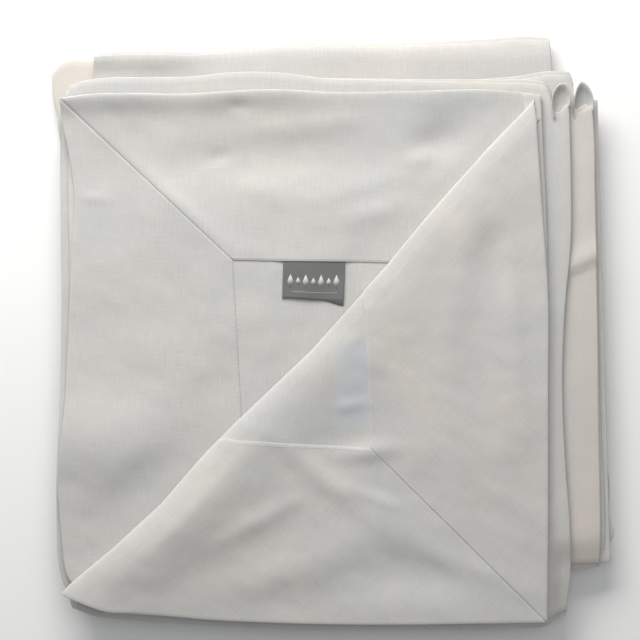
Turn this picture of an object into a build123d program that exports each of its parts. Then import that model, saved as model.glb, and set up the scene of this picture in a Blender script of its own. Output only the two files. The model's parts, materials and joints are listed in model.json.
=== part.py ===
from build123d import *
import os
from math import atan2, cos, degrees, radians, sin

# A linen tablecloth with wide mitred hems, folded to a flat stack that lies on a table.
# Millimetres. +Z is up from the table, +Y points to the back edge, +X to the right.
# Leaf 1 is the top leaf and leaf 16 lies on the table. Leaves 3 to 16 come in pairs,
# each pair joined by a fold along one edge.

# Heights
LEAF = 1.2  # one leaf of soft linen, with the air that it holds
LEAF_GAP = 0.8  # between the two leaves of a pair
PAIR_GAP = 0.5  # between one pair and the next
PAIR = 2 * LEAF + LEAF_GAP
PITCH = PAIR + PAIR_GAP
LOWER_PAIRS = 4
MIDDLE_PAIRS = 3
GROUND = 0.9  # the single cloth of the two top leaves
HEM = 0.6  # what a turned hem adds to it
LABEL = 0.8  # both plies of the folded label
LABEL_BEND = 0.4  # radius of the tape's bend where it leaves the hem
THREAD = 0.2

# Rounded folds
BEAD = 1.6  # radius of a fold that a leaf turns about
CLEAR = 2.2  # from such a fold's axis to the leaf that turns about it
LIP = 3.0  # solid nose of a pair's fold
CORNER = 4.0  # soft corner of a leaf

# The folds that a hand opens: two points on each axis
RIGHT_FOLD = (173.0, 195.0), (178.5, -235.0)
FRONT_FOLD = (-212.0, -228.5), (177.0, -238.5)
MAIN_FOLD = (229.5, -190.0), (218.5, 205.0)
CREASE = (-206.0, -207.2), (165.5, 187.0)

# The mitred hems, about 140 mm wide: the corner of each hem's inner edge and two points on it
LABEL_LEAF_INNER = (-82.0, 61.0), (-74.0, -87.0), (55.0, 59.0)
FLAP_INNER = (30.7, -93.0), (-78.0, -87.0), (27.0, 12.0)
MITRE_GAP = 1.2  # between the two hems that meet on the diagonal
SEAM = 0.6  # width of a row of stitches
SEAM_INSET = 2.0  # from a hem's inner edge to its row of stitches
LABEL_LEAF_ROWS = 284.0, 248.0  # length of each row of stitches
FLAP_ROWS = 124.0, 124.0

# The woven label, sewn in under the inner edge of the back hem
LABEL_LEFT = -40.6
LABEL_BACK = 58.0
LABEL_WIDTH = 50.0
LABEL_LENGTH = 30.0
PLY = 0.3  # each of its two plies

# Outlines, anticlockwise from the back left corner
LABEL_LEAF = (-224.5, 194.5), (-216.0, -226.2), (176.3, -236.3), (173.0, 195.0)
FLAP_TIP = (-209.0, -223.5)
FLAP_CORNER = (173.8, -234.0)
LEAVES_3_4 = (-226.0, 200.0), (-212.0, -228.5), (177.0, -238.5), (195.0, -226.0), (193.0, 205.5)
LEAVES_5_6 = (-230.0, 212.0), (-226.0, -205.0), (221.0, -190.0), (211.0, 211.0)
LEAVES_7_8 = (-223.0, 207.0), (-222.0, -196.0), (225.0, -189.0), (215.5, 205.0)
LEAVES_9_10 = (-204.0, 214.0), (-200.0, -200.0), *MAIN_FOLD
LEAVES_11_12 = (-199.0, 231.0), (-196.0, -214.0), (214.0, -187.0), (182.0, 244.5)
LEAVES_13_14 = (
    (-232.0, 224.0),
    (-224.0, -216.0),
    (184.0, -224.0),
    (196.0, -191.0),
    (216.0, -187.0),
    (172.0, 229.0),
)
LEAVES_15_16 = (
    (-214.0, 208.0),
    (-196.0, -228.0),
    (-10.0, -244.0),
    (162.0, -234.0),
    (194.0, -192.0),
    (217.0, -186.0),
    (206.0, 200.0),
)

# Which side of its outline a pair's fold is on, counted from the left side
LEFT, FRONT, RIGHT = 0, 1, 2
RIGHT_OF_3_4 = 3


def level(pair_below):
    """Height of the underside of the pair that has this many pairs under it."""
    return pair_below * PITCH


MAIN_AXIS_Z = level(LOWER_PAIRS) - PAIR_GAP / 2
STACK_TOP = level(LOWER_PAIRS + MIDDLE_PAIRS) - PAIR_GAP
LABEL_LEAF_Z = STACK_TOP + 0.6
FRONT_AXIS_Z = (STACK_TOP + LABEL_LEAF_Z) / 2
LABEL_LEAF_TOP = LABEL_LEAF_Z + GROUND
LABEL_HEM_TOP = LABEL_LEAF_TOP + HEM
LABEL_Z = LABEL_LEAF_TOP + 0.2
RIGHT_AXIS_Z = LABEL_HEM_TOP + 0.4
TOP_LEAF_Z = RIGHT_AXIS_Z + 0.4
FLAP_Z = TOP_LEAF_Z + GROUND + 0.4
CREASE_AXIS_Z = FLAP_Z - 0.2
FLAP_TOP = FLAP_Z + GROUND
FLAP_HEM_TOP = FLAP_TOP + HEM


def offset_line(line, distance):
    """The line moved to its left by the distance, looking from its first point to its second."""
    (x0, y0), (x1, y1) = line
    turn = atan2(y1 - y0, x1 - x0)
    dx, dy = -sin(turn) * distance, cos(turn) * distance
    return (x0 + dx, y0 + dy), (x1 + dx, y1 + dy)


def beyond(start, end, length=600.0):
    """A point past the end of a line, this far from its start."""
    (x0, y0), (x1, y1) = start, end
    scale = length / ((x1 - x0) ** 2 + (y1 - y0) ** 2) ** 0.5
    return x0 + (x1 - x0) * scale, y0 + (y1 - y0) * scale


def slab(points, bottom, height, corner=CORNER):
    """A flat piece of cloth with this outline."""
    if corner:
        edge = FilletPolyline(*points, radius=corner, close=True)
    else:
        edge = Polyline(*points, close=True)
    return Pos(0, 0, bottom) * extrude(make_face(edge), amount=height, dir=(0, 0, 1))


def bead(line, z, radius=BEAD):
    """The round edge of a fold: a rod along its axis."""
    (x0, y0), (x1, y1) = line
    length = ((x1 - x0) ** 2 + (y1 - y0) ** 2) ** 0.5
    place = Plane(origin=(x0, y0, z), z_dir=(x1 - x0, y1 - y0, 0))
    return place * Cylinder(radius, length, align=(Align.CENTER, Align.CENTER, Align.MIN))


def strip(start, end, bottom, height=THREAD, width=SEAM):
    """A straight row of stitches from one point to another."""
    (x0, y0), (x1, y1) = start, end
    length = ((x1 - x0) ** 2 + (y1 - y0) ** 2) ** 0.5
    place = Pos((x0 + x1) / 2, (y0 + y1) / 2, bottom) * Rot(Z=degrees(atan2(y1 - y0, x1 - x0)))
    return place * Box(length, width, height, align=(Align.CENTER, Align.CENTER, Align.MIN))


def folded_pair(points, bottom, side):
    """Two leaves joined by the fold along one side of their outline."""
    near = offset_line(points[side : side + 2], LIP)
    far = offset_line(near, 1000.0)
    pocket = [beyond(near[1], near[0]), beyond(near[0], near[1]), far[1], far[0]]
    return slab(points, bottom, PAIR) - slab(pocket, bottom + LEAF, LEAF_GAP, corner=0)


def hems(points, corner, inner, bottom):
    """The two turned hems along the sides that meet at a corner, either side of the mitre."""
    inner_corner, inner_a, inner_b = inner
    end_a, end_b = beyond(inner_corner, inner_a), beyond(inner_corner, inner_b)
    centre = [inner_corner, end_a, beyond(corner, inner_corner, 1500.0), end_b]
    mitre = strip(beyond(inner_corner, corner), inner_corner, bottom, HEM, MITRE_GAP)
    return (slab(points, bottom, HEM) - slab(centre, bottom, HEM, corner=0) - mitre).solids()


def hem_stitching(corner, inner, ends, bottom):
    """One row of stitches along each hem's inner edge, on top of the hem."""
    inner_corner = inner[0]
    start = beyond(inner_corner, corner, SEAM_INSET * 1.4)
    shift = start[0] - inner_corner[0], start[1] - inner_corner[1]
    rows = []
    for point, length in zip(inner[1:], ends):
        x, y = beyond(inner_corner, point, length)
        rows.append(strip(start, (x + shift[0], y + shift[1]), bottom))
    return rows[0] + rows[1]


def mitre_seam(corner, inner, bottom):
    """The seam that closes the mitre, in the gap between its two hems."""
    inner_corner = inner[0]
    reach = ((corner[0] - inner_corner[0]) ** 2 + (corner[1] - inner_corner[1]) ** 2) ** 0.5
    outer = beyond(inner_corner, corner, reach - CORNER)
    return strip(inner_corner, outer, bottom, HEM - 0.1)


# The lower half of the stack, which lies on the table
parts = {
    "folded_leaves_15_16": folded_pair(LEAVES_15_16, level(0), LEFT),
    "folded_leaves_13_14": folded_pair(LEAVES_13_14, level(1), LEFT),
    "folded_leaves_11_12": folded_pair(LEAVES_11_12, level(2), RIGHT),
    "folded_leaves_9_10": folded_pair(LEAVES_9_10, level(3), FRONT) + bead(MAIN_FOLD, MAIN_AXIS_Z),
}

# The middle of the stack, which opens to the right about the main fold
parts["folded_leaves_7_8"] = folded_pair(LEAVES_7_8, level(4), FRONT)
parts["folded_leaves_5_6"] = folded_pair(LEAVES_5_6, level(5), RIGHT)
leaves_3_4 = folded_pair(LEAVES_3_4, level(6), RIGHT_OF_3_4)
parts["folded_leaves_3_4"] = leaves_3_4 + bead(FRONT_FOLD, FRONT_AXIS_Z)

# Leaf 2, which carries the label and opens to the front
left_hem, back_hem = sorted(
    hems(LABEL_LEAF, LABEL_LEAF[0], LABEL_LEAF_INNER, LABEL_LEAF_TOP),
    key=lambda hem: hem.center().Y,
)
parts["label_leaf_cloth"] = slab(LABEL_LEAF, LABEL_LEAF_Z, GROUND) + bead(RIGHT_FOLD, RIGHT_AXIS_Z)
parts["label_leaf_left_hem"] = left_hem
parts["label_leaf_back_hem"] = back_hem - bead(RIGHT_FOLD, RIGHT_AXIS_Z, BEAD + 0.1)
parts["label_leaf_mitre_seam"] = mitre_seam(LABEL_LEAF[0], LABEL_LEAF_INNER, LABEL_LEAF_TOP)
parts["label_leaf_hem_stitching"] = hem_stitching(
    LABEL_LEAF[0], LABEL_LEAF_INNER, LABEL_LEAF_ROWS, LABEL_HEM_TOP
)

# The label: a woven tape folded over once, its two ends held in the hem
label_middle = LABEL_LEFT + LABEL_WIDTH / 2, LABEL_BACK - LABEL_LENGTH / 2 - 0.3
whole_label = Pos(*label_middle, LABEL_Z) * Box(
    LABEL_WIDTH, LABEL_LENGTH, LABEL, align=(Align.CENTER, Align.CENTER, Align.MIN)
)
between_plies = Pos(0, LABEL - PLY, PLY) * Pos(*label_middle, LABEL_Z) * Box(
    LABEL_WIDTH, LABEL_LENGTH, LABEL - 2 * PLY, align=(Align.CENTER, Align.CENTER, Align.MIN)
)
label_bend = bead(
    ((LABEL_LEFT, LABEL_BACK), (LABEL_LEFT + LABEL_WIDTH, LABEL_BACK)), LABEL_Z + LABEL, LABEL_BEND
)
parts["woven_label"] = whole_label - between_plies + label_bend

# Leaf 1, of which the front right half lies flat
flat_half = *CREASE[::-1], FLAP_TIP, FLAP_CORNER
parts["top_leaf_cloth"] = slab(flat_half, TOP_LEAF_Z, GROUND) + bead(CREASE, CREASE_AXIS_Z)

# The other half of leaf 1, folded over the crease, with its wrong side up
crease_side = offset_line(CREASE[::-1], CLEAR)
flap = *crease_side, FLAP_TIP, FLAP_CORNER
bottom_hem, right_hem = sorted(
    hems(flap, FLAP_CORNER, FLAP_INNER, FLAP_TOP), key=lambda hem: hem.center().Y
)
parts["corner_flap_cloth"] = slab(flap, FLAP_Z, GROUND)
parts["corner_flap_front_hem"] = bottom_hem
parts["corner_flap_right_hem"] = right_hem
parts["corner_flap_mitre_seam"] = mitre_seam(FLAP_CORNER, FLAP_INNER, FLAP_TOP)
parts["corner_flap_hem_stitching"] = hem_stitching(FLAP_CORNER, FLAP_INNER, FLAP_ROWS, FLAP_HEM_TOP)

os.makedirs("parts", exist_ok=True)
for name, shape in parts.items():
    export_step(shape, f"parts/{name}.step")
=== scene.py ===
import json
from math import cos, pi, radians, sin

import bpy
import numpy as np
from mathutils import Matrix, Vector


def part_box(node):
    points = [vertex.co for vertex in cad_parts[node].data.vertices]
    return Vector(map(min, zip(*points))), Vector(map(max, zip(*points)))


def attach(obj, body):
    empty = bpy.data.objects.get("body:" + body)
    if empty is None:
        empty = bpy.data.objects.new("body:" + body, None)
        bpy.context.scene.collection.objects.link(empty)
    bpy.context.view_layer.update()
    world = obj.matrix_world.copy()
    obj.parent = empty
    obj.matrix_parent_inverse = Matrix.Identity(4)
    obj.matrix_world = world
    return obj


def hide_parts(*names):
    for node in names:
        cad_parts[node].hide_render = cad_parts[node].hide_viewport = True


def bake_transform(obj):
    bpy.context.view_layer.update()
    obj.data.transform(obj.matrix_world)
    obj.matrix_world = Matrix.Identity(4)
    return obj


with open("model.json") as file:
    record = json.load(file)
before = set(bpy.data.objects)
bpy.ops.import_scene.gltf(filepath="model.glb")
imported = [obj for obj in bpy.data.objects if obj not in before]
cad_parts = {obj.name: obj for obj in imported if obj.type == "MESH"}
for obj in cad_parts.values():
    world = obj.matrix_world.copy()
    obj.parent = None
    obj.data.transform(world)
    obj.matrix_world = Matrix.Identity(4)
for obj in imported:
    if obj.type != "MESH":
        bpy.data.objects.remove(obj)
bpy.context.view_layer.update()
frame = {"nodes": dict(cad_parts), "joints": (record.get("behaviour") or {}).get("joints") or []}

# A folded linen tablecloth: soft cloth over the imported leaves. Lengths are in
# millimetres until a mesh is made. X, Y and Z are the frame's: +Z up, +Y to the back edge.

MM = 0.001
NODES = frame["nodes"]
JOINTS = {joint["name"]: joint for joint in frame["joints"]}

CLOTH = 0.85  # thickness of one layer of washed linen, with its nap
HEM_CLOTH = 0.58  # what a turned hem adds
NEST = 0.03  # how far a layer sinks into the one below it
MITRE_GAP = 0.42  # half of the groove between two hems at a mitre
LOWER_LEAF, UPPER_LEAF = 0.62, 2.6  # the middles of a folded pair's leaves, above its underside

# -------------------- heights and places


def unit(vectors):
    """The same directions, of length 1."""
    return vectors / np.maximum(np.linalg.norm(vectors, axis=-1, keepdims=True), 1e-9)


def rightwards(way):
    """The direction in plan square to this one, on the +X side."""
    side = np.array([-way[1], way[0]])
    return -side if side[0] < 0 else side


def inwards(point, way):
    """The direction in plan across a fold line, towards the middle of the stack."""
    side = np.array([-way[1], way[0]])
    return -side if side @ (-point) < 0 else side


def low(node):
    """A CAD node's lowest height."""
    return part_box(node)[0][2] / MM


def high(node):
    """A CAD node's highest height."""
    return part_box(node)[1][2] / MM


def outline(node):
    """A CAD leaf's corners: back left, front left, front right, back right."""
    points = np.array([v.co for v in NODES[node].data.vertices]) / MM
    ways = ((-1, 1), (-1, -1), (1, -1), (1, 1))
    return [points[np.argmax(points[:, 0] * a + points[:, 1] * b), :2] for a, b in ways]


def axis_line(joint):
    """A hinge's point and direction in plan, and its height."""
    point = np.array(JOINTS[joint]["pos_m"]) / MM
    direction = np.array(JOINTS[joint]["axis"])
    return point[:2], unit(direction[:2]), point[2]


# -------------------- smooth fields


def ramp(value, start, end):
    """0 before start, 1 after end, smooth between."""
    x = np.clip((np.asarray(value, float) - start) / (end - start), 0, 1)
    return x * x * (3 - 2 * x)


def noise(x, y, size, seed, turn=0.0, stretch=1.0):
    """A smooth random field from -1 to 1, with bumps of about this size, longer by stretch along turn."""
    lattice = np.random.default_rng(seed).uniform(-1, 1, (61, 67))
    c, s = cos(radians(turn)), sin(radians(turn))
    u = (x * c + y * s) / (size * stretch) + 500.3
    v = (y * c - x * s) / size + 500.7
    i, j = np.floor(u).astype(int), np.floor(v).astype(int)
    fu, fv = u - i, v - j
    fu, fv = (f * f * f * (f * (f * 6 - 15) + 10) for f in (fu, fv))

    def at(a, b):
        return lattice[(i + a) % 61, (j + b) % 67]

    near = at(0, 0) * (1 - fu) + at(1, 0) * fu
    far = at(0, 1) * (1 - fu) + at(1, 1) * fu
    return near * (1 - fv) + far * fv


def hill(x, y, cx, cy, long, short, turn=0.0):
    """A soft rounded rise of height 1 at a point, longer along turn."""
    c, s = cos(radians(turn)), sin(radians(turn))
    u = ((x - cx) * c + (y - cy) * s) / long
    v = ((y - cy) * c - (x - cx) * s) / short
    return np.exp(-u * u - v * v)


def fractions(count):
    """Evenly spaced fractions from 0 to 1, unless they are given."""
    return np.linspace(0, 1, count) if isinstance(count, int) else count


def through(points, count):
    """A smooth curve through the points: this many points evenly spaced along it, or one at each fraction."""
    p = np.array(points, float)
    steps = np.r_[0, np.cumsum(np.linalg.norm(np.diff(p, axis=0), axis=1))]
    if len(p) == 2:
        fine = p
        reach = steps
    else:
        slope = np.gradient(p, steps, axis=0)
        at = np.linspace(0, steps[-1], 12 * len(p) + 1)
        k = np.clip(np.searchsorted(steps, at, side="right") - 1, 0, len(p) - 2)
        width = (steps[k + 1] - steps[k])[:, None]
        f = ((at - steps[k]) / width[:, 0])[:, None]
        h0 = 2 * f**3 - 3 * f**2 + 1
        h1 = f**3 - 2 * f**2 + f
        fine = h0 * p[k] + h1 * width * slope[k] + (1 - h0) * p[k + 1] + (f**3 - f**2) * width * slope[k + 1]
        reach = np.r_[0, np.cumsum(np.linalg.norm(np.diff(fine, axis=0), axis=1))]
    want = reach[-1] * fractions(count)
    return np.stack([np.interp(want, reach, fine[:, n]) for n in (0, 1)], axis=1)


def patch(start, end, first, last, across, along):
    """Points filling the four edge curves: start and end run along, first and last run across.

    Returns x and y, each with across rows from start to end, and along columns from first to last."""
    a, b = through(start, along), through(end, along)
    c, d = through(first, across), through(last, across)
    s = fractions(across)[:, None, None]
    t = fractions(along)[None, :, None]
    corners = (1 - s) * (1 - t) * a[0] + (1 - s) * t * a[-1] + s * (1 - t) * b[0] + s * t * b[-1]
    filled = (1 - s) * a[None] + s * b[None] + (1 - t) * c[:, None] + t * d[:, None] - corners
    return filled[..., 0], filled[..., 1]


# -------------------- meshes


def new_mesh(name, verts, faces, cloth):
    """A mesh object from points in millimetres, with each point's place on the flat cloth."""
    mesh = bpy.data.meshes.new(name)
    mesh.from_pydata((np.asarray(verts) * MM).tolist(), [], [list(f) for f in faces])
    mesh.validate()
    place = mesh.attributes.new("cloth", "FLOAT_VECTOR", "POINT")
    flat = np.zeros((len(verts), 3), np.float32)
    flat[:, : np.shape(cloth)[1]] = cloth
    place.data.foreach_set("vector", (flat * MM).ravel())
    mesh.shade_smooth()
    piece = bpy.data.objects.new(name, mesh)
    bpy.context.collection.objects.link(piece)
    return piece


def normals(grid):
    """The unit normal at each point of a grid of points."""
    du, dv = np.gradient(grid, axis=0), np.gradient(grid, axis=1)
    return unit(np.cross(du, dv))


def cloth_solid(name, grid, thickness, cloth):
    """A closed sheet of cloth of this thickness about a grid of middle points, with rounded edges."""
    rows, columns = grid.shape[:2]
    half = thickness / 2
    up = normals(grid)
    top, under = grid + up * half, grid - up * half
    count = rows * columns
    index = np.arange(count).reshape(rows, columns)
    square = np.stack([index[:-1, :-1], index[1:, :-1], index[1:, 1:], index[:-1, 1:]], -1).reshape(-1, 4)
    ring = np.r_[index[:-1, 0], index[-1, :-1], index[:0:-1, -1], index[0, :0:-1]]
    flat_grid = grid.reshape(-1, 3)
    inner = np.empty((rows, columns), int)
    inner[:] = index
    inner[0], inner[-1] = index[1], index[-2]
    inner[:, 0], inner[:, -1] = inner[:, 1], inner[:, -2]
    out = unit(flat_grid[ring] - flat_grid[inner.reshape(-1)[ring]])
    rim = []
    for turn in (45, 0, -45):
        away = cos(radians(turn)) * out + sin(radians(turn)) * up.reshape(-1, 3)[ring]
        rim.append(flat_grid[ring] + away * half)
    verts = np.concatenate([top.reshape(-1, 3), under.reshape(-1, 3), *rim])
    loops = [ring] + [2 * count + n * len(ring) + np.arange(len(ring)) for n in range(3)] + [ring + count]
    faces = [square, square[:, ::-1] + count]
    for a, b in zip(loops[:-1], loops[1:]):
        faces.append(np.stack([a, b, np.roll(b, -1), np.roll(a, -1)], -1))
    flat = np.asarray(cloth, float).reshape(count, -1)
    place = np.concatenate([flat, flat] + [flat[ring]] * 3)
    return new_mesh(name, verts, np.concatenate(faces).tolist(), place)


def gather(name, chunks):
    """One mesh from many small closed chunks, each a list of points and a list of faces."""
    verts, faces, count = [], [], 0
    for points, polygons in chunks:
        verts.append(points)
        faces += [tuple(i + count for i in face) for face in polygons]
        count += len(points)
    verts = np.concatenate(verts)
    return new_mesh(name, verts, faces, verts)


# -------------------- the stack's shape

RIGHT_POINT, RIGHT_WAY, RIGHT_Z = axis_line("right_fold")
FRONT_POINT, FRONT_WAY, FRONT_Z = axis_line("front_fold")
MAIN_POINT, MAIN_WAY, MAIN_Z = axis_line("main_fold")
CREASE_POINT, CREASE_WAY = axis_line("corner_crease")[:2]
CREASE_OUT = rightwards(CREASE_WAY)  # from the crease towards the flap's corner
STACK_HIGH = high("folded_leaves_3_4")


def beside(point, way, x, y):
    """Distance of each x, y from a line in plan, positive on the stack's side of it."""
    side = inwards(point, way)
    return (x - point[0]) * side[0] + (y - point[1]) * side[1]


def crease_places(x, y):
    """Distance from the crease towards the flap's corner, and distance along the crease."""
    rx, ry = x - CREASE_POINT[0], y - CREASE_POINT[1]
    return rx * CREASE_OUT[0] + ry * CREASE_OUT[1], rx * CREASE_WAY[0] + ry * CREASE_WAY[1]


# Soft rises and hollows of the whole pile, in plan: place, length, width, which way and height
PILE_HILLS = [
    (-45, 145, 95, 22, 3, -3.6),
    (98, 152, 26, 24, 0, -6.5),
    (74, 144, 12, 8, 10, 1.8),
    (40, 99, 28, 11, 8, 2.2),
    (-205, 202, 60, 44, 0, 4.6),
    (-120, 100, 60, 12, -43, 1.2),
    (-182, -92, 66, 38, -4, 5.8),
    (150, -60, 18, 70, 8, 1.4),
    (130, 70, 22, 26, 0, -2.0),
    (60, -200, 60, 24, 0, -1.8),
    (-170, 20, 40, 30, 20, -1.0),
    (-60, 60, 60, 20, -10, 0.8),
]


def swell(x, y, z):
    """How far the pile of soft leaves stands above or below its flat shape, more at its top."""
    calm = ramp(beside(RIGHT_POINT, RIGHT_WAY, x, y), 6, 45) * ramp(beside(FRONT_POINT, FRONT_WAY, x, y), 4, 40)
    calm = calm * (0.2 + 0.8 * ramp(np.abs(crease_places(x, y)[0]), 10, 50))
    field = 0.6 * noise(x, y, 120, 11) + 0.5 * noise(x, y, 55, 12, 35) + 0.22 * noise(x, y, 24, 13, 15, 1.8)
    for cx, cy, long, short, turn, rise in PILE_HILLS:
        field = field + rise * hill(x, y, cx, cy, long, short, turn)
    margin = ramp(x, 176, 186)  # what reaches out past the right fold
    sag = 5.5 * ramp(-y, 166, 196) + 3.0 * ramp(-y, 196, 232) + 1.5 * ramp(x, 196, 226)
    return (calm * field - margin * sag) * np.clip(z / STACK_HIGH, 0, 1)


def ripple(x, y, seed, size=48.0, depth=0.32):
    """A leaf's own slight waviness."""
    crumple = 0.7 * noise(x, y, size * 0.42, seed + 1, 40, 1.5) + 0.36 * noise(x, y, size * 0.2, seed + 2, -25, 1.8)
    return depth * (noise(x, y, size, seed) + crumple) / 1.5


def edges(node, left=(), front=(), right=(), back=(), corners=None):
    """A leaf's four edges: its CAD corners, with points between them where an edge isn't straight.

    left and right run from front to back, front and back run from left to right."""
    bl, fl, fr, br = corners or outline(node)
    return {
        "left": [fl, *left, bl],
        "right": [fr, *right, br],
        "front": [fl, *front, fr],
        "back": [bl, *back, br],
    }


def sides_for(sides, fold):
    """The patch's start, end, first and last curves when the fold is on this side."""
    left, right, front, back = (sides[k] for k in ("left", "right", "front", "back"))
    if fold == "right":
        return left, right, front, back
    if fold == "left":
        return right, left, front[::-1], back[::-1]
    return back, front, left[::-1], right[::-1]


def folded_pair(node, name, sides, fold, seed, reach=0.0, slip=0.0, droop=None, tone=None):
    """Two leaves and the rounded fold that joins them, as one sheet.

    The lower leaf reaches out this far past the upper one at its open edge, and slips this far
    along the fold. droop(x, y) lowers what nothing holds up."""
    across, along = 74, 84
    low_z, high_z = low(node) + LOWER_LEAF, low(node) + UPPER_LEAF
    x, y = patch(*sides_for(sides, fold), across, along)
    nose = (high_z - low_z) / 2
    out = unit(np.stack([x[-1] - x[-3], y[-1] - y[-3]], -1))
    way = unit(np.array([x[-1, -1] - x[-1, 0], y[-1, -1] - y[-1, 0]]))
    inset = (nose + CLOTH / 2) * ramp(np.linspace(0, 1, across), 0.9, 1)[:, None]
    x, y = x - inset * out[:, 0], y - inset * out[:, 1]
    away = (1 - np.linspace(0, 1, across))[:, None] ** 0.7
    end = np.linspace(-1, 1, along)[None, :]
    near_end = end * np.abs(end) ** 5
    low_x = x - away * reach * out[:, 0] + near_end * slip * way[0]
    low_y = y - away * reach * out[:, 1] + near_end * slip * way[1]

    def height(base, px, py, number):
        z = base + swell(px, py, base) + ripple(px, py, seed + number)
        return z - droop(px, py) if droop else z

    lower = np.stack([low_x, low_y, height(low_z, low_x, low_y, 0)], -1)
    upper = np.stack([x, y, height(high_z, x, y, 5)], -1)[::-1]
    grid = np.concatenate([lower, nose_rows(lower[-1], upper[0], out, nose), upper])
    flat = flat_places(grid)
    return cloth_solid(name, grid, CLOTH, toned(flat, tone(grid[..., 0], grid[..., 1])) if tone else flat)


def nose_rows(lower, upper, out, reach, count=9):
    """The rows round a fold, from a leaf's edge to the edge of the leaf over it."""
    turns = np.radians(np.linspace(-90, 90, count))[1:-1, None, None]
    push = np.concatenate([out, np.zeros((len(out), 1))], 1) * reach
    return (lower + upper) / 2 + (upper - lower) / 2 * np.sin(turns) + push * np.cos(turns)


def toned(flat, tone):
    """The places on the flat cloth, with a third value: above 0, how much painted cool reflection lies there; below
    0, how warm its colour is there.
    """
    return np.concatenate([flat, tone[..., None]], -1)


def flat_places(grid):
    """Each point's place on the cloth, had it been laid out flat: distance along each way of the grid."""
    steps = np.linalg.norm(np.diff(grid, axis=0), axis=2).mean(1)
    u = np.r_[0, np.cumsum(steps)]
    steps = np.linalg.norm(np.diff(grid, axis=1), axis=2).mean(0)
    v = np.r_[0, np.cumsum(steps)]
    return np.stack(np.meshgrid(u, v, indexing="ij"), -1)


LIP = 14  # how far a roll of cloth reaches in between its two leaves


def fold_roll(name, point, way, z, start, length, radius, gap, seed):
    """The rounded fold between two bodies, along a hinge's axis, with a lip between the two leaves.

    gap is from the axis up or down to a lip."""
    side = inwards(point, way)
    turns = np.radians(np.linspace(-90, 90, 13))
    under = [(LIP, z - gap), (8, z - gap), (3.5, z - (gap + radius) / 2)]
    over = [(u, 2 * z - height) for u, height in under[::-1]]
    section = np.array(under + [(0.3 - radius * cos(t), z + radius * sin(t)) for t in turns] + over)
    base = point + way * (start + np.linspace(0, length, int(length / 4)))[:, None]
    plan = base[None] + side * section[:, None, :1]
    wave = 0.2 * noise(plan[..., 0], plan[..., 1], 26, seed) * (section[:, :1] < 3)
    height = (section[:, 1:] + wave)[..., None]
    grid = np.concatenate([plan, height], -1)
    return cloth_solid(name, grid, 0.45, flat_places(grid))


# -------------------- materials


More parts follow.
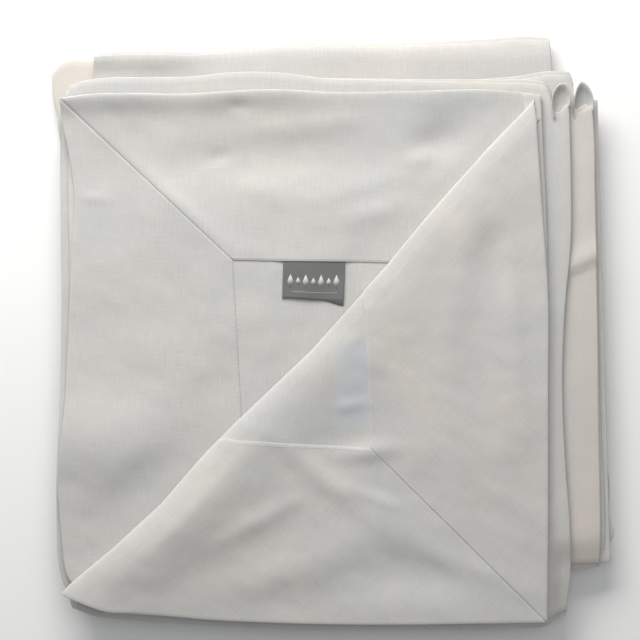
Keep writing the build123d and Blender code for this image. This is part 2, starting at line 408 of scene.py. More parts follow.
def linen_material(name, colour, warm, weave=1.0):
    """Washed plain-weave linen: threads both ways, slubs, soft blotches and a fine nap."""
    material = bpy.data.materials.new(name)
    material.use_nodes = True
    nodes, links = material.node_tree.nodes, material.node_tree.links
    shader = nodes["Principled BSDF"]

    def node(kind, **settings):
        made = nodes.new(kind)
        for key, value in settings.items():
            setattr(made, key, value)
        return made

    def set_inputs(made, **values):
        for key, value in values.items():
            made.inputs[key.replace("_", " ")].default_value = value
        return made

    place = node("ShaderNodeAttribute", attribute_name="cloth").outputs["Vector"]
    apart = node("ShaderNodeSeparateXYZ")
    links.new(place, apart.inputs["Vector"])
    tone = apart.outputs["Z"]

    def threads(scale, seed, detail=2.0):
        """Streaks along one way of the cloth."""
        mapping = node("ShaderNodeMapping")
        mapping.inputs["Scale"].default_value = (*scale, 1.0)
        mapping.inputs["Location"].default_value = (seed, seed * 0.7, 0.0)
        links.new(place, mapping.inputs["Vector"])
        made = set_inputs(node("ShaderNodeTexNoise"), Scale=1.0, Detail=detail, Roughness=0.6)
        links.new(mapping.outputs["Vector"], made.inputs["Vector"])
        return made.outputs["Fac"]

    def wave(direction, spacing):
        """The even over and under of the weave along one way."""
        made = node("ShaderNodeTexWave", bands_direction=direction)
        set_inputs(made, Scale=1.0 / spacing / 3.18, Distortion=1.2, Detail=1.0, Detail_Scale=2.0)
        links.new(place, made.inputs["Vector"])
        return made.outputs["Fac"]

    def maths(operation, a, b):
        made = node("ShaderNodeMath", operation=operation)
        for socket, value in zip(made.inputs, (a, b)):
            if isinstance(value, (int, float)):
                socket.default_value = value
            else:
                links.new(value, socket)
        return made.outputs["Value"]

    def blend(amount, a, b, mode="MIX"):
        made = node("ShaderNodeMix", data_type="RGBA", blend_type=mode)
        for socket, value in zip((made.inputs[0], made.inputs[6], made.inputs[7]), (amount, a, b)):
            if isinstance(value, (int, float, tuple)):
                socket.default_value = value
            else:
                links.new(value, socket)
        return made.outputs[2]

    def spread(value, low_in, high_in):
        made = node("ShaderNodeMapRange", clamp=True)
        set_inputs(made, **{"From_Min": low_in, "From_Max": high_in})
        links.new(value, made.inputs["Value"])
        return made.outputs["Result"]

    warp = threads((60, 1700), 3.1)
    weft = threads((1500, 55), 7.7)
    along = spread(threads((24, 900), 1.3, 1.0), 0.62, 0.82)
    slubs = maths("ADD", along, spread(threads((850, 20), 5.2, 1.0), 0.64, 0.82))
    blotches = threads((16, 19), 9.4, 3.0)
    clouds = threads((8.5, 10.0), 4.6, 3.0)
    cloth = maths("ADD", warp, weft)

    shade = blend(spread(clouds, 0.38, 0.62), (*colour, 1), (*warm, 1))
    shade = blend(spread(blotches, 0.3, 0.75), shade, tuple(0.95 * c for c in colour) + (1,))
    dark = blend(spread(cloth, 0.8, 1.25), (0.9, 0.9, 0.9, 1), (1.04, 1.04, 1.04, 1))
    shade = blend(0.8 * weave, shade, dark, "MULTIPLY")
    shade = blend(maths("MULTIPLY", slubs, 0.2), shade, tuple(min(1, 1.12 * c) for c in colour) + (1,))
    # Where the cloth's third place value is above 0, a painted cool reflection is mixed in; below 0, a warmer colour.
    cool = tuple(0.97 * c for c in (colour[0] * 0.95, colour[1], colour[2] * 1.07)) + (1,)
    shade = blend(spread(tone, 0.0, 0.001), shade, cool)
    shade = blend(spread(maths("MULTIPLY", tone, -1.0), 0.0, 0.001), shade, (0.67, 0.605, 0.535, 1))
    links.new(shade, shader.inputs["Base Color"])

    tangle = maths("MULTIPLY", wave("X", 0.00062), wave("Y", 0.00066))
    height = maths("ADD", maths("MULTIPLY", cloth, 0.6), maths("MULTIPLY", slubs, 0.5))
    height = maths("ADD", height, maths("MULTIPLY", tangle, 0.35))
    bump = set_inputs(node("ShaderNodeBump"), Strength=0.4 * weave, Distance=0.00014)
    links.new(height, bump.inputs["Height"])
    links.new(bump.outputs["Normal"], shader.inputs["Normal"])
    rough = maths("ADD", maths("MULTIPLY", cloth, 0.05), 0.82)
    links.new(rough, shader.inputs["Roughness"])
    shader.inputs["Specular IOR Level"].default_value = 0.18
    shader.inputs["Sheen Weight"].default_value = 0.12
    shader.inputs["Sheen Roughness"].default_value = 0.5
    return material


COOL_LINEN = 0.585, 0.585, 0.575
WARM_LINEN = 0.64, 0.605, 0.56
linen = linen_material("linen", COOL_LINEN, WARM_LINEN)
hem_linen = linen_material("hem linen", (0.59, 0.588, 0.575), (0.64, 0.608, 0.565))


def dress(piece, material, slot, body, *nodes):
    """Finishes a piece: its material, the body that it rides on and what it stands for. slot is not used."""
    piece.data.materials.append(material)
    if body:
        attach(piece, body)
    if nodes:
        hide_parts(*nodes)
    return piece


# -------------------- the lower and middle leaves


def flat_size(sides, fold):
    """The size of a folded pair laid out flat, in metres."""
    start, end, first, last = (np.array(s, float) for s in sides_for(sides, fold))

    def length(p):
        return np.linalg.norm(np.diff(p, axis=0), axis=1).sum()

    return (length(first) + length(last)) * MM, (length(start) + length(end)) / 2 * MM


def add_pair(node, name, body, sides, fold, seed, rests_on, **shape):
    """Adds a folded pair of leaves to the stack."""
    piece = folded_pair(node, name, sides, fold, seed, **shape)
    dress(piece, linen, "linen", body, node)
    flat_size(sides, fold)


def back_droop(x, y):
    """The back leaf hangs down a little where it reaches past the leaves below."""
    lifted_corner = 3.6 * ramp(y, 213, 231) * ramp(-x, 95, 150)
    return 2.0 * ramp(y, 230, 246) - lifted_corner


def front_droop(x, y):
    """The front margin curls down to the table."""
    return 2.2 * ramp(-y, 226, 243)


def pink_corner(x, y):
    """The leaf that shows at the back left is a little pinker than the others."""
    return -0.55 * hill(x, y, -212, 205, 40, 40)


def warm_margin(x, y):
    """The right margin is a little warmer in colour than the rest of the leaf."""
    return -0.5 * ramp(x, 192, 204)


def tuck(x, y):
    """A small tuck in the right margin, which ends in a sharp edge towards the front."""
    behind = (y - 52.1) - (x - 193.1) * 0.4
    return -2.2 * ramp(behind, -1.5, 0.8) * np.exp(-((np.maximum(behind, 0) / 16) ** 2)) * ramp(x, 188, 197)


add_pair(
    "folded_leaves_15_16", "leaves_15_16", "lower_leaves",
    edges(
        "folded_leaves_15_16",
        front=[
            (-156, -236.5), (-106, -238), (-39, -241.5), (3, -244), (34, -243.5), (118, -237), (160, -234),
            (182, -208), (198, -191),
        ],
    ),
    "left", 100, [], droop=front_droop,
)
add_pair(
    "folded_leaves_13_14", "leaves_13_14", "lower_leaves",
    edges(
        "folded_leaves_13_14",
        corners=[(-234, 215), (-203, -222), (184, -224), (172, 229)],
        left=[
            (-212, -206), (-218, -188), (-221, -140), (-221, -66), (-224, -4), (-226, 69), (-226.5, 130),
            (-228, 178), (-232.5, 198),
        ],
        back=[(-227.3, 223.5), (-199, 227.5), (-100, 230), (60, 229)],
        right=[(191, -198), (204, -188), (214, -178), (196, 20), (180, 180)],
    ),
    "left", 120, ["leaves_15_16"], tone=pink_corner,
)
add_pair(
    "folded_leaves_11_12", "leaves_11_12", "lower_leaves",
    edges(
        "folded_leaves_11_12",
        back=[(-164, 232), (-114, 231.6), (-73, 235.5), (-39, 239), (22, 239), (73, 240), (123, 242.3), (165, 244.5)],
    ),
    "right", 140, ["leaves_13_14"], reach=-4, slip=3, droop=back_droop,
)
add_pair(
    "folded_leaves_9_10", "leaves_9_10", "lower_leaves",
    edges(
        "folded_leaves_9_10",
        corners=[(-203, 206), (-200, -200), (229, -189), (213, 197)],
        right=[
            (229, -175), (233.5, -166), (231, -158), (226, -124), (223.5, -68), (220.5, -12), (220, 45),
            (216.5, 127), (216, 175),
        ],
    ),
    "front", 160, ["leaves_11_12"],
)
add_pair(
    "folded_leaves_7_8", "leaves_7_8", "middle_leaves",
    edges(
        "folded_leaves_7_8",
        corners=[(-211, 200), (-219.5, -196), (225, -188.5), (212, 196)],
        left=[(-219.5, -66), (-221, 69), (-220, 150), (-217, 180)],
        right=[(225, -160), (221, -60), (218, 60), (215.5, 150), (215, 180)],
    ),
    "front", 180, ["leaves_9_10"],
)
add_pair(
    "folded_leaves_5_6", "leaves_5_6", "middle_leaves",
    edges(
        "folded_leaves_5_6",
        corners=[(-216, 198), (-219.5, -197.5), (221, -188.5), (214.4, 189.5)],
        left=[(-221, -100), (-219, -20), (-217.5, 60), (-217.5, 110), (-220.5, 151), (-223, 180)],
        right=[(221.5, -160), (221, -120), (220, -68), (219.5, -12), (218.5, 45), (217, 127), (216.5, 160)],
        back=[
            (-207, 203), (-180, 206), (-89, 209), (20, 206), (100, 206), (150, 209), (186, 213.6), (196.5, 212.5),
            (199.5, 198), (203, 183),
        ],
    ),
    "right", 200, ["leaves_7_8"], reach=3, slip=4, droop=tuck, tone=warm_margin,
)
add_pair(
    "folded_leaves_3_4", "leaves_3_4", "middle_leaves",
    edges(
        "folded_leaves_3_4",
        corners=[(-209.5, 207), (-206, -216), (193.5, -227), (194.8, 192)],
        left=[(-216, -190), (-219, -150), (-217, -60), (-216, 60), (-217, 140), (-213, 190)],
        front=[(-192, -222), (-160, -226.5), (-100, -231), (-30, -235), (60, -236), (150, -236), (178, -234)],
        right=[(196.8, -196), (196, -162), (192, -106), (189.5, -50), (192, 28), (196, 69), (196.2, 143)],
        back=[
            (-190, 210), (-148, 211), (-114, 212), (-89, 214.9), (-56, 215.7), (-31, 213.7), (-6, 210.3),
            (21, 209.5), (80, 208), (137, 206.5), (168, 205.3), (177.5, 203), (180.5, 191), (184.5, 182),
        ],
    ),
    "right", 220, ["leaves_5_6"], reach=9, slip=5,
)


def fold_mouth(name, node, rim, floor, rim_rise, floor_drop, seed):
    """The open end of a fold at the back right corner: a rim that stands up round a hollow."""
    count = 46
    outer, inner = through(rim, count), through(floor, count)
    arch = np.sin(np.linspace(0.12, pi - 0.12, count))
    rows = []
    top = high(node) - CLOTH / 2
    for s in np.linspace(0, 1, 16):
        plan = outer + (inner - outer) * s**1.15
        z = top + rim_rise * arch * (1 - ramp(s, 0.02, 0.4))
        z = z - floor_drop * ramp(s, 0.05, 0.85) + 0.15 * noise(plan[:, 0], plan[:, 1], 9, seed)
        rows.append(np.concatenate([plan, z[:, None]], 1))
    grid = np.array(rows)
    return cloth_solid(name, grid, CLOTH, grid[..., :2])


mouths = [
    (
        "mouth_3_4", "folded_leaves_3_4",
        [(181.6, 178), (180.0, 189), (180.6, 196.4), (183.3, 202.3), (187.4, 206), (191.5, 205.6), (194.3, 201.6),
         (195.4, 196), (195, 188)],
        [(185, 178), (187, 183), (190, 186), (193, 187)], 2.4, 2.6, 260,
    ),
    (
        "mouth_5_6", "folded_leaves_5_6",
        [(199.5, 178), (198.6, 189), (199.8, 197.2), (202.2, 204.8), (205, 208), (209.5, 205.4), (213.4, 199.4),
         (215.2, 193), (215, 185)],
        [(203, 179), (205.5, 183), (209, 185), (212, 184.5)], 2.6, 3.0, 265,
    ),
]
for name, node, *shape in mouths:
    piece = dress(fold_mouth(name, node, *shape), linen, "linen", "middle_leaves")

# -------------------- the folds between the bodies


def add_roll(name, point, way, z, start, length, radius, gap, seed):
    """The roll of cloth that joins two bodies at a fold."""
    piece = dress(fold_roll(name, point, way, z, start, length, radius, gap, seed), linen, "linen", None)
    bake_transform(piece)


add_roll(
    "main_fold_roll", MAIN_POINT, MAIN_WAY, MAIN_Z + 0.02,
    2, 382, 0.92, 0.24, 240,
)
add_roll(
    "front_fold_roll", FRONT_POINT, FRONT_WAY, FRONT_Z - 0.06,
    24, 364, 0.86, 0.16, 250,
)

# -------------------- the label leaf

GROUND_2 = low("label_leaf_cloth") + CLOTH / 2 + 0.02  # middle of the label leaf's ground cloth
GROUND_1 = RIGHT_Z + 0.85  # middle of the top leaf's flat half
LIFT = (CLOTH + HEM_CLOTH) / 2 - NEST  # from the middle of a ground cloth to the middle of its hem
LEAF_2_BACK = [
    (-198, 196.4), (-164.4, 197.5), (-122.6, 197), (-89.2, 199), (-55.8, 200.7), (-30.7, 200.3),
    (-5.6, 198.7), (20.9, 198.7), (71.8, 199.7), (129.2, 200.5),
]
LEAF_2_LEFT = [
    (-213, -206), (-217.5, -199), (-220.2, -188), (-221.8, -172.6), (-224.3, -143.9), (-225.9, -115.2),
    (-220.2, -66), (-216.9, 3.7), (-213.6, 77.5), (-212, 113.6), (-216.9, 151.3), (-221.8, 175.9),
]
LEAF_2_CORNERS = (-223.2, 193.4), (-205, -221), (177, -235.5), (171.5, 196)
LEAF_2_RIGHT = [(177.4, -144), (177.3, -49), (177.3, 20), (176.6, 69), (175, 118), (172.6, 165)]


# The label leaf's own small rises and dimples: place, length, width, which way and height
LABEL_LEAF_HILLS = [
    (-94, 146, 10, 6, 20, -1.0),
    (-77, 188, 9, 5, 0, -0.8),
    (-150, 130, 34, 5, -43, 0.5),
    (-112, 96, 30, 5, -43, 0.45),
    (-20, 172, 60, 9, 6, 0.7),
    (20, 120, 40, 8, 14, 0.6),
    (-196, 112, 12, 4, -5, 0.8),
    (-60, 120, 36, 8, -12, 0.5),
]


def label_surface(x, y):
    """Height of the middle of the label leaf's ground cloth."""
    z = GROUND_2 + swell(x, y, GROUND_2) + ripple(x, y, 300, 54, 0.62)
    back = np.interp(x, [p[0] for p in LEAF_2_BACK], [p[1] for p in LEAF_2_BACK]) - y
    z = z + (1.8 + 2.0 * ramp(-x, -20, 60)) * np.exp(-((back / 13) ** 2)) * ramp(x, 172, 120)
    for cx, cy, long, short, turn, rise in LABEL_LEAF_HILLS:
        z = z + rise * hill(x, y, cx, cy, long, short, turn)
    return z


def raised(x, y, surface, lift):
    """Points this far above a surface, along its normal."""
    slope_x = (surface(x + 0.5, y) - surface(x - 0.5, y)).astype(float)
    slope_y = (surface(x, y + 0.5) - surface(x, y - 0.5)).astype(float)
    size = np.sqrt(1 + slope_x**2 + slope_y**2)
    return np.stack([x - slope_x / size * lift, y - slope_y / size * lift, surface(x, y) + lift / size], -1)


sides_2 = edges("label_leaf_cloth", LEAF_2_LEFT, (), LEAF_2_RIGHT, LEAF_2_BACK, LEAF_2_CORNERS)
fine = np.r_[np.linspace(0, 0.95, 118), np.linspace(0.955, 1, 10)]
x, y = patch(*sides_for(sides_2, "right"), fine, 140)
out = unit(np.stack([x[-1] - x[-4], y[-1] - y[-4]], -1))
nose = (GROUND_1 - GROUND_2) / 2
inset = (nose + CLOTH / 2) * ramp(fine, 0.93, 1)[:, None]
x, y = x - inset * out[:, 0], y - inset * out[:, 1]
leaf_2 = np.stack([x, y, label_surface(x, y)], -1)
lip = []
for back in (0.0, 1.5, 4.0, 7.0, 10.0, 13.0):
    px, py = x[-1] - back * out[:, 0], y[-1] - back * out[:, 1]
    lip.append(np.stack([px, py, GROUND_1 + swell(px, py, GROUND_1)], -1))
grid = np.concatenate([leaf_2, nose_rows(leaf_2[-1], lip[0], out, nose), np.array(lip)])
label_leaf = cloth_solid("label_leaf", grid, CLOTH, grid[..., :2])
dress(label_leaf, linen, "linen", None, "label_leaf_cloth")
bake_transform(label_leaf)

# The two hems, mitred at the back left corner
inner, inner_left, inner_back = np.array((-82.0, 61.0)), (-66.2, -232), (172, 57.5)
corner_2 = np.array(LEAF_2_CORNERS[0], float)
diagonal = unit(inner - corner_2)
across_mitre = rightwards(diagonal) * MITRE_GAP  # towards the back hem
left_outer = [LEAF_2_CORNERS[1], *LEAF_2_LEFT, corner_2 - across_mitre + (0.6, -0.6)]
back_outer = [corner_2 + across_mitre + (0.6, -0.6), *LEAF_2_BACK, (165, 198)]
left_inner = [inner_left, (-72, -125), (-75.5, -60), (-79, 5), inner - across_mitre]
back_inner = [inner + across_mitre, (-40, 60.4), (10, 60), (60, 58.8), (120, 58), inner_back]


LABEL_LEFT, LABEL_RIGHT = (corner[0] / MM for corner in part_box("woven_label"))


def label_lift(x, y):
    """The back hem stands up over the two plies of the label."""
    middle = (LABEL_LEFT + LABEL_RIGHT) / 2
    return 0.62 * ramp(np.abs(x - middle), 34, 24) * ramp(y, 84, 60)


HEM_FROM = np.array((400, 150))  # where on the cloth the hems are cut from, away from the ground's own threads


def add_hem(name, surface_points, start, end, first, last, across, along):
    """A turned hem: a band of cloth that fills four edges, laid on a surface."""
    x, y = patch(start, end, first, last, across, along)
    grid = surface_points(x, y)
    piece = cloth_solid(name, grid, HEM_CLOTH, np.stack([x, y], -1) + HEM_FROM)
    return dress(piece, hem_linen, "hem_linen", None)


def on_label_leaf(x, y):
    return raised(x, y, label_surface, LIFT + label_lift(x, y))


left_hem = add_hem(
    "label_leaf_left_band", on_label_leaf, left_outer, left_inner,
    [left_outer[0], (-185, -225.5), (-140, -229), left_inner[0]], [left_outer[-1], left_inner[-1]], 60, 130,
)
back_hem = add_hem(
    "label_leaf_back_band", on_label_leaf, back_outer, back_inner,
    [back_outer[0], back_inner[0]], [back_outer[-1], (170.5, 120), back_inner[-1]], 60, 120,
)
for piece, node in ((left_hem, "label_leaf_left_hem"), (back_hem, "label_leaf_back_hem")):
    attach(piece, "label_leaf")
    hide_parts(node)


def stitch_row(name, points, at, length=2.5, pitch=3.3, width=0.17):
    """A row of small stitches along a line in plan: at(x, y) gives the points that they lie on.

    Each stitch is a six-sided thread, thickest in the middle, with its ends sunk in the cloth."""
    sections = (-1, 0.25), (-0.8, 0.9), (0, 1.1), (0.8, 0.9), (1, 0.25)
    reach = np.linalg.norm(np.diff(np.array(points, float), axis=0), axis=1).sum()
    line = through(points, int(reach / pitch))
    centres = at(line[:, 0], line[:, 1])
    ways = unit(np.gradient(centres, axis=0))
    rng = np.random.default_rng(7)
    chunks = []
    for centre, way in zip(centres, ways):
        side = np.cross(way, (0, 0, 1))
        up = np.cross(side, way)
        way = way + side * rng.uniform(-0.09, 0.09)
        rings = []
        for along, thick in sections:
            sink = -0.12 * along * along
            for turn in range(6):
                a = radians(60 * turn)
                spoke = (side * cos(a) + up * sin(a)) * width * thick
                rings.append(centre + way * along * length / 2 + up * sink + spoke)
        faces = [tuple(range(5, -1, -1)), tuple(range(24, 30))]
        for k in range(4):
            for turn in range(6):
                faces.append((k * 6 + turn, k * 6 + (turn + 1) % 6, k * 6 + 6 + (turn + 1) % 6, k * 6 + 6 + turn))
        chunks.append((np.array(rings), faces))
    return gather(name, chunks)


def seam_strip(name, points, at, width=0.9, thickness=0.3):
    """A narrow ribbon of joined cloth at the bottom of the groove between two hems."""
    line = through(points, 90)
    way = unit(np.gradient(line, axis=0))
    side = np.stack([-way[:, 1], way[:, 0]], -1) * width / 2
    plan = np.stack([line - side, line - side / 3, line + side / 3, line + side])
    grid = at(plan[..., 0], plan[..., 1])
    return cloth_solid(name, grid, thickness, grid[..., :2])


def shifted(points_at, rise):
    """The same surface function, this much higher."""
    return lambda x, y: points_at(x, y) + (0, 0, rise)


thread = linen_material("thread", (0.72, 0.69, 0.64), (0.7, 0.67, 0.62), 0.6)


def stitches_and_seam(prefix, stitch_lines, seam_line, at, nodes):
    """The rows of stitches along two hems' inner edges, and the mitre's seam low in its groove."""
    on_hem = shifted(at, HEM_CLOTH / 2 + 0.04)
    rows = [stitch_row(f"{prefix}_stitches_{n}", line, on_hem) for n, line in enumerate(stitch_lines, 1)]
    for row in rows:
        dress(row, thread, "thread", None)
    seam = seam_strip(f"{prefix}_mitre", seam_line, shifted(at, -0.22))
    dress(seam, hem_linen, "hem_linen", None, nodes[1])
    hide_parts(nodes[0])
    return [*rows, seam]


def inset_line(points, dx, dy):
    """A line's points, moved sideways into the hem."""
    return [(x + dx, y + dy) for x, y in points]


extras_2 = stitches_and_seam(
    "label_leaf",
    [
        inset_line(left_inner[:-1] + [inner], -2.0, 0.0),
        inset_line([inner] + back_inner[1:-1] + [(166, 57.6)], 0.0, 2.0),
    ],
    [inner - diagonal * 1.0, corner_2 + diagonal * 3.0],
    on_label_leaf, ("label_leaf_hem_stitching", "label_leaf_mitre_seam"),
)
for piece in extras_2:
    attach(piece, "label_leaf")

# -------------------- the top leaf and its folded corner

BOW = [  # how far the crease bends towards the flap's corner, at places along it from the back right end
    (-552, -2.4), (-538, -1.7), (-514, -1.9), (-490, -2.0), (-455, -1.3), (-411, 0.3), (-364, 3.5), (-270, 5.9),
    (-180, 0.9), (-143, 0.9), (-94, 2.9), (-40, -1.0), (4, -6.4), (20, -6.0),
]
FLAP_MID = low("corner_flap_cloth") + CLOTH / 2 + 0.06
LIP_Z = GROUND_1 + CLOTH - NEST


def in_plan(u, q):
    """x and y of a place across and along the crease."""
    return (
        CREASE_POINT[0] + CREASE_OUT[0] * u + CREASE_WAY[0] * q,
        CREASE_POINT[1] + CREASE_OUT[1] * u + CREASE_WAY[1] * q,
    )


def bow(q):
    return np.interp(q, [b[0] for b in BOW], [b[1] for b in BOW])


def bulge(q):
    """How high the loose fold stands along the crease."""
    return 3.4 + 3.1 * ramp(q, -350, -150) - 2.2 * ramp(q, -70, 8) - 1.6 * ramp(q, -470, -540)


# Soft rises and hollows of the folded corner, in plan: place, length, width, which way and height
FLAP_HILLS = [
    (-8, -118, 48, 9, -41, 1.7),
    (28, -96, 26, 8, 8, 1.9),
    (-60, -152, 34, 8, 28, 1.3),
    (-140, -142, 95, 44, 0, 3.4),
    (34, -134, 26, 6, -20, 1.0),
    (14, -58, 14, 6, 5, 0.9),
    (10, 0, 11, 8, 0, 1.2),
    (-40, -196, 80, 16, 16, 1.8),
    (60, -160, 70, 12, -36, 1.0),
    (110, -190, 60, 9, -20, 0.9),
    (104, 40, 16, 60, -8, 1.6),
    (150, 0, 8, 70, 4, 0.9),
    (150, -140, 26, 10, -30, 1.0),
    (95, -60, 12, 40, 20, 0.8),
]


def flap_height(u, q):
    """Height of the middle of the folded corner's ground cloth."""
    x, y = in_plan(u, q)
    spread = 40 - 4 * ramp(q, -330, -120)
    z = FLAP_MID + swell(x, y, FLAP_MID) + ripple(x, y, 400, 50, 0.62)
    z = z + bulge(q) * (0.8 + 0.2 * ramp(u, 2, 20)) * np.exp(-((np.maximum(u - 20, 0) / spread) ** 2))
    for cx, cy, long, short, turn, rise in FLAP_HILLS:
        z = z + rise * hill(x, y, cx, cy, long, short, turn) * ramp(u, 4, 24)
    return z


def bezier(t, a, b, c, d):
    return (1 - t) ** 3 * a + 3 * (1 - t) ** 2 * t * b + 3 * (1 - t) * t * t * c + t**3 * d


def flap_at(p, q):
    """A point of the folded corner: p runs from the lip under the crease, round it and over the flap."""
    t = np.clip((p + 6) / 18, 0, 1)
    base = swell(*in_plan(10.0, q), FLAP_MID)
    far = flap_height(10.0, q)
    slope = (flap_height(11.0, q) - far) * 12.6 + 1.1
    u = np.where(p < -6, -p - 3, np.where(p > 12, p - 2, bezier(t, 3, -4.6, -2.6, 10)))
    lip_z = LIP_Z + base
    z = np.where(p < -6, lip_z, bezier(t, lip_z, lip_z, far - slope, far))
    z = np.where(p > 12, flap_height(np.maximum(u, 10), q), z)
    shift = bow(q) * (1 - ramp(p, 12, 75))
    x, y = in_plan(u + shift, q)
    return np.stack([x, y, z], -1)


def flap_point(p, q, lift=0.0):
    """The same, this far outside the middle of the cloth."""
    here = flap_at(p, q)
    if np.any(lift):
        here = here - unit(np.cross(flap_at(p + 0.4, q) - here, flap_at(p, q + 0.4) - here)) * lift
    return here


def to_flap(points):
    """p and q of points in plan, past the crease's roll. The crease's bow fades with p, so p is
    settled in a few steps."""
    found = []
    for x, y in points:
        u, q = crease_places(x, y)
        p = u + 2
        for _step in range(8):
            p = u + 2 - float(bow(q)) * (1 - float(ramp(p, 12, 75)))
        found.append((p, q))
    return found


def tie_to_flap(piece):
    """Bakes the piece's place into its mesh. The loose fold stands higher than the flap's far corner."""
    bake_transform(piece)


FLAP_FRONT = [
    (-184.9, -226.7), (-164.4, -228), (-139.8, -230), (-101.3, -233.6), (-55.8, -235.8), (-5.3, -237.4),
    (54.5, -237.7), (118.5, -236.8),
]
FLAP_RIGHT = [(168.2, 151), (171, 110), (174.0, 69.3), (176, 40), (176.4, -49.4), (176.5, -143.6)]
flap_corner = np.array((176.0, -236.6))
front_end = [(-15, 8), (-6, 11.5), (0, 13.5), (5, 14.3), (12, 11.0)]
back_end = [(-15, -537), (-6, -540), (0, -545), (5, -543), (12, -535)]
corner_cut = np.array([(-2.0, 0.2), (0.0, 2.2)]) + flap_corner
front_side = front_end + to_flap([*FLAP_FRONT, corner_cut[0]])
right_side = back_end + to_flap([*FLAP_RIGHT, corner_cut[1]])
rows = np.r_[np.linspace(0, 0.085, 30)[:-1], np.linspace(0.085, 1, 125)]
p, q = patch([front_end[0], back_end[0]], to_flap(corner_cut), front_side, right_side, rows, 190)
grid = flap_point(p, q)
x, y = in_plan(p, q)
# A painted cool reflection of the daylight: a soft strip on the flap's ground, beside the inner edge of its right
# hem.
painted_reflection_mask = 0.8 * ramp(x, -3, 6) * ramp(-y, -4, 14) * ramp(y, -88, -70)
flap = cloth_solid("corner_flap", grid, CLOTH, np.stack([x, y, painted_reflection_mask], -1))
dress(flap, linen, "linen", None, "corner_flap_cloth")
tie_to_flap(flap)

# Its two hems, mitred at its corner
flap_inner = np.array((30.7, -93.0))
way_in = unit(flap_inner - flap_corner)
to_right = rightwards(way_in) * MITRE_GAP  # towards the right hem
front_inner = [(-77, -87.2), (-20, -90.5)]
right_inner = [(26.4, 22.5), (27.4, 4), (29.5, -45)]


def wrap(end, lean):
    """A hem's end, which runs on to the crease, turns round it and stops under it."""
    p, q = to_flap([end])[0]
    return [(at, q + lean * (p - max(at, 1))) for at in (-2.5, 1.5, 5, 9)]


def hem_on_flap(p, q):
    return flap_point(p, q, LIFT)


mitre_front, mitre_right = to_flap([flap_inner - to_right])[0], to_flap([flap_inner + to_right])[0]
tip_front, tip_right = (to_flap([flap_corner + way_in * 1.2 + side])[0] for side in (-to_right, to_right))
front_cut, right_cut = wrap(front_inner[0], 0.94), wrap(right_inner[0], -1.06)
front_hem = add_hem(
    "corner_flap_front_band", hem_on_flap,
    front_end[2:] + to_flap(FLAP_FRONT) + [tip_front], front_cut + to_flap(front_inner) + [mitre_front],
    [(0, 13.5), (-2, -60), front_cut[0]], [tip_front, mitre_front], 60, 170,
)
right_hem = add_hem(
    "corner_flap_right_band", hem_on_flap,
    back_end[2:] + to_flap(FLAP_RIGHT) + [tip_right], right_cut + to_flap(right_inner) + [mitre_right],
    [(0, -545), (-2, -450), right_cut[0]], [tip_right, mitre_right], 60, 170,
)
extras_1 = stitches_and_seam(
    "corner_flap",
    [
        to_flap([(-74, -89.7), (-20, -92.6), (29, -95.2)]),
        to_flap([(28.6, 22), (29.6, 4), (31.8, -45), (33, -93)]),
    ],
    to_flap([flap_inner + way_in, (100, -160), flap_corner + way_in * 4]),
    hem_on_flap, ("corner_flap_hem_stitching", "corner_flap_mitre_seam"),
)
for piece in (front_hem, right_hem, *extras_1):
    tie_to_flap(piece)
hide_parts("corner_flap_front_hem")
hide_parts("corner_flap_right_hem")

# The flat half of the leaf, under the flap
start_line = [in_plan(2.6 + float(bow(q)), q) for q in np.linspace(2, -530, 30)]
end_line = [(172.0, -234.5), (173.5, -233)]
x, y = patch(
    start_line, end_line,
    [start_line[0], *[(a, b + 1.6) for a, b in FLAP_FRONT[1:]], end_line[0]],
    [start_line[-1], (171, 69), (173.6, -49), end_line[-1]], 90, 120,
)
inside = beside(RIGHT_POINT, RIGHT_WAY, x, y)
z = GROUND_1 + swell(x, y, GROUND_1) - 0.8 * ramp(inside, 20, 13)
top_leaf = cloth_solid("top_leaf", np.stack([x, y, z], -1), CLOTH, np.stack([x, y], -1))
dress(top_leaf, linen, "linen", "top_leaf", "top_leaf_cloth")

# -------------------- the woven label


def label_material(name, dark, light):
    """Woven tape: fine ribs across it and a little fuzz, between two shades."""
    material = bpy.data.materials.new(name)
    material.use_nodes = True
    nodes, links = material.node_tree.nodes, material.node_tree.links
    shader = nodes["Principled BSDF"]
    place = nodes.new("ShaderNodeAttribute")
    place.attribute_name = "cloth"
    ribs = nodes.new("ShaderNodeTexWave")
    ribs.bands_direction = "X"
    fuzz = nodes.new("ShaderNodeTexNoise")
    mix = nodes.new("ShaderNodeMix")
    mix.data_type = "RGBA"
    bump = nodes.new("ShaderNodeBump")
    settings = (
        (ribs, {"Scale": 700, "Distortion": 2, "Detail": 1}),
        (fuzz, {"Scale": 900, "Detail": 3}),
        (mix, {6: (*dark, 1), 7: (*light, 1)}),
        (bump, {"Strength": 0.5, "Distance": 0.0001}),
        (shader, {"Roughness": 0.75, "Specular IOR Level": 0.2}),
    )
    for node, values in settings:
        for socket, value in values.items():
            node.inputs[socket].default_value = value
    for node in (ribs, fuzz):
        links.new(place.outputs["Vector"], node.inputs["Vector"])
    links.new(fuzz.outputs["Fac"], mix.inputs[0])
    links.new(mix.outputs[2], shader.inputs["Base Color"])
    links.new(ribs.outputs["Fac"], bump.inputs["Height"])
    links.new(bump.outputs["Normal"], shader.inputs["Normal"])
    return material


tape = label_material("label tape", (0.145, 0.15, 0.147), (0.205, 0.21, 0.205))
PLY = 0.28  # thickness of one ply of the label
LABEL_BACK, LABEL_FRONT = 64, 29.4  # the label's ends under the hem and at its fold
label_z = GROUND_2 + CLOTH / 2 + PLY / 2 + 0.05


def label_edge(s):
    """x at the left or right of the label, from its back to its front."""
    return np.array([LABEL_LEFT + 0.3 - 0.9 * s, LABEL_RIGHT + 1.3 - 1.9 * s])


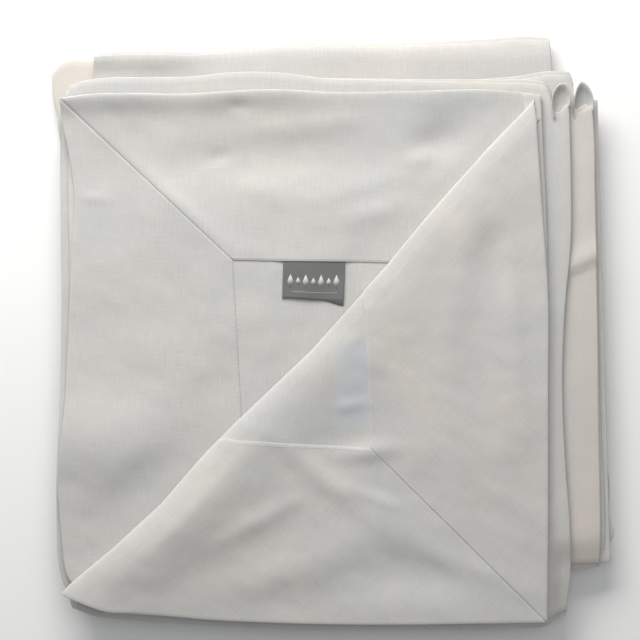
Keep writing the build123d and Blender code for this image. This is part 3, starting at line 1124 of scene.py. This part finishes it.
t = np.linspace(0, 1, 44)  # from the label's left to its right
loose = ramp(t, 0.62, 1.0)  # the fold gapes at its right end
front_y = 30.2 - 1.7 * t + 0.35 * np.sin(7.5 * t + 0.4)
under_y = front_y - 0.4 - 5.0 * loose
crown = 0.6 + 0.9 * ramp(t, 0.5, 1.0) + 0.25 * np.sin(5 * t)


def label_row(back, height):
    """A row across the label at a place from 0 at the hem to 1 at its front, or past it in mm."""
    s = np.clip(back, 0, 1)
    y = LABEL_BACK - (LABEL_BACK - front_y) * s
    left, right = label_edge(s)
    x = left + (right - left) * t
    ground = label_surface(x, y) - GROUND_2
    return np.stack([x, y, label_z + ground + height], -1)


upper = []
for s in np.linspace(0, 1, 30):
    rise = PLY + 0.05 + crown * ramp(s, 0.12, 0.9) + 0.12 * np.sin(9 * t + 5 * s) * ramp(s, 0.2, 0.6)
    upper.append(label_row(s, rise))
lower = []
for s in np.linspace(0, 1, 20):
    lower.append(label_row(s, 0.0))
    lower[-1][:, 1] = LABEL_BACK - (LABEL_BACK - under_y) * s
upper, lower = np.array(upper), np.array(lower)
bend = []
for f in np.linspace(0.12, 0.94, 9):
    bend.append((1 - f) * upper[-1] + f * lower[-1])
    bend[-1][:, 1] -= 0.35 * np.sin(pi * f) + 0.5 * loose * np.sin(pi * f)
grid = np.concatenate([upper, np.array(bend), lower[::-1]])
along = np.r_[0, np.cumsum(np.linalg.norm(np.diff(grid, axis=0), axis=2).mean(1))]
flat = np.stack(np.broadcast_arrays((t * 50)[None, :], along[:, None]), -1)
label = cloth_solid("folded_label", grid, PLY, flat)
dress(label, tape, "label_tape", None, "woven_label")
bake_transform(label)

# Its woven pattern, in raised pale thread: a row of plain lozenges over a line of dashes
pale = label_material("label pattern", (0.42, 0.43, 0.42), (0.56, 0.57, 0.56))
LOZENGES_Y, DASHES_Y = 43.2, 34.6


def on_label(x, y, height):
    """A point on the label's upper ply."""
    s = (LABEL_BACK - y) / (LABEL_BACK - LABEL_FRONT)
    left, right = label_edge(s)
    k = (x - left) / (right - left)
    row = np.clip(s * (len(upper) - 1), 0, len(upper) - 1.001)
    column = np.clip(k * (len(t) - 1), 0, len(t) - 1.001)
    i, j = int(row), int(column)
    a, b = row - i, column - j
    point = (1 - a) * (1 - b) * upper[i, j] + (1 - a) * b * upper[i, j + 1]
    point = point + a * (1 - b) * upper[i + 1, j] + a * b * upper[i + 1, j + 1]
    return point + (0, 0, PLY / 2 + height)


def outline_chunk(points, height=0.05, depth=0.12):
    """A thin flat shape on the label."""
    top = [on_label(x, y, height) for x, y in points]
    under = [point - (0, 0, depth) for point in top]
    n = len(points)
    faces = [tuple(range(n)), tuple(range(2 * n - 1, n - 1, -1))]
    faces += [(k, k + n, (k + 1) % n + n, (k + 1) % n) for k in range(n)]
    return np.array(top + under), faces


chunks = []
for k in range(7):
    cx, cy = -34.5 + 6.3 * k, LOZENGES_Y
    wide, tall = (2.7, 6.0) if k % 2 == 0 else (2.2, 3.6)
    chunks.append(outline_chunk([(cx + wide, cy), (cx, cy + tall), (cx - wide, cy), (cx, cy - tall)]))
for a in np.linspace(-33.5, 2.5, 25):
    back, front = DASHES_Y + 0.3, DASHES_Y - 0.3
    chunks.append(outline_chunk([(a + 1.0, front), (a + 1.0, back), (a, back), (a, front)]))
pattern = dress(gather("label_pattern", chunks), pale, "label_tape", "woven_label")

# -------------------- the table, the light and the camera

bpy.ops.mesh.primitive_plane_add(size=6, location=(0, 0, -0.0004))
floor = bpy.context.object
floor.name = "table"
white = bpy.data.materials.new("table")
white.use_nodes = True
surface = white.node_tree.nodes["Principled BSDF"]
surface.inputs["Base Color"].default_value = (0.93, 0.93, 0.925, 1)
surface.inputs["Roughness"].default_value = 0.9
floor.data.materials.append(white)


def area_light(name, place, target, size, power, colour):
    """A soft rectangular light that faces its target."""
    light = bpy.data.lights.new(name, "AREA")
    light.shape = "RECTANGLE"
    light.size, light.size_y = size
    light.energy = power
    light.color = colour
    lamp = bpy.data.objects.new(name, light)
    bpy.context.collection.objects.link(lamp)
    lamp.location = place
    way = np.array(target) - np.array(place)
    lamp.rotation_mode = "QUATERNION"
    lamp.rotation_quaternion = Vector(way).to_track_quat("-Z", "Y")


area_light("window", (-0.32, 1.2, 0.62), (0, 0, 0.02), (1.3, 0.6), 29, (1.0, 0.985, 0.955))
area_light("ceiling", (0.3, 0.3, 1.9), (0.1, 0, 0), (1.4, 1.4), 5, (1.0, 0.99, 0.97))
world = bpy.data.worlds.new("room")
world.use_nodes = True
sky = world.node_tree.nodes["Background"]
sky.inputs["Color"].default_value = (0.96, 0.98, 1.0, 1)
sky.inputs["Strength"].default_value = 0.3
bpy.context.scene.world = world

lens = bpy.data.cameras.new("camera")
AWAY, SEEN = 1.55, 0.525  # the camera's height above the cloth, and the width that it sees there, in metres
lens.sensor_width = 36
lens.lens = lens.sensor_width * AWAY / SEEN
camera = bpy.data.objects.new("camera", lens)
bpy.context.collection.objects.link(camera)
camera.location = (-0.01025, 0.0119, AWAY + 0.03)
camera.rotation_euler = (0, 0, 0)
bpy.context.scene.camera = camera
bpy.context.scene.view_settings.view_transform = "Standard"
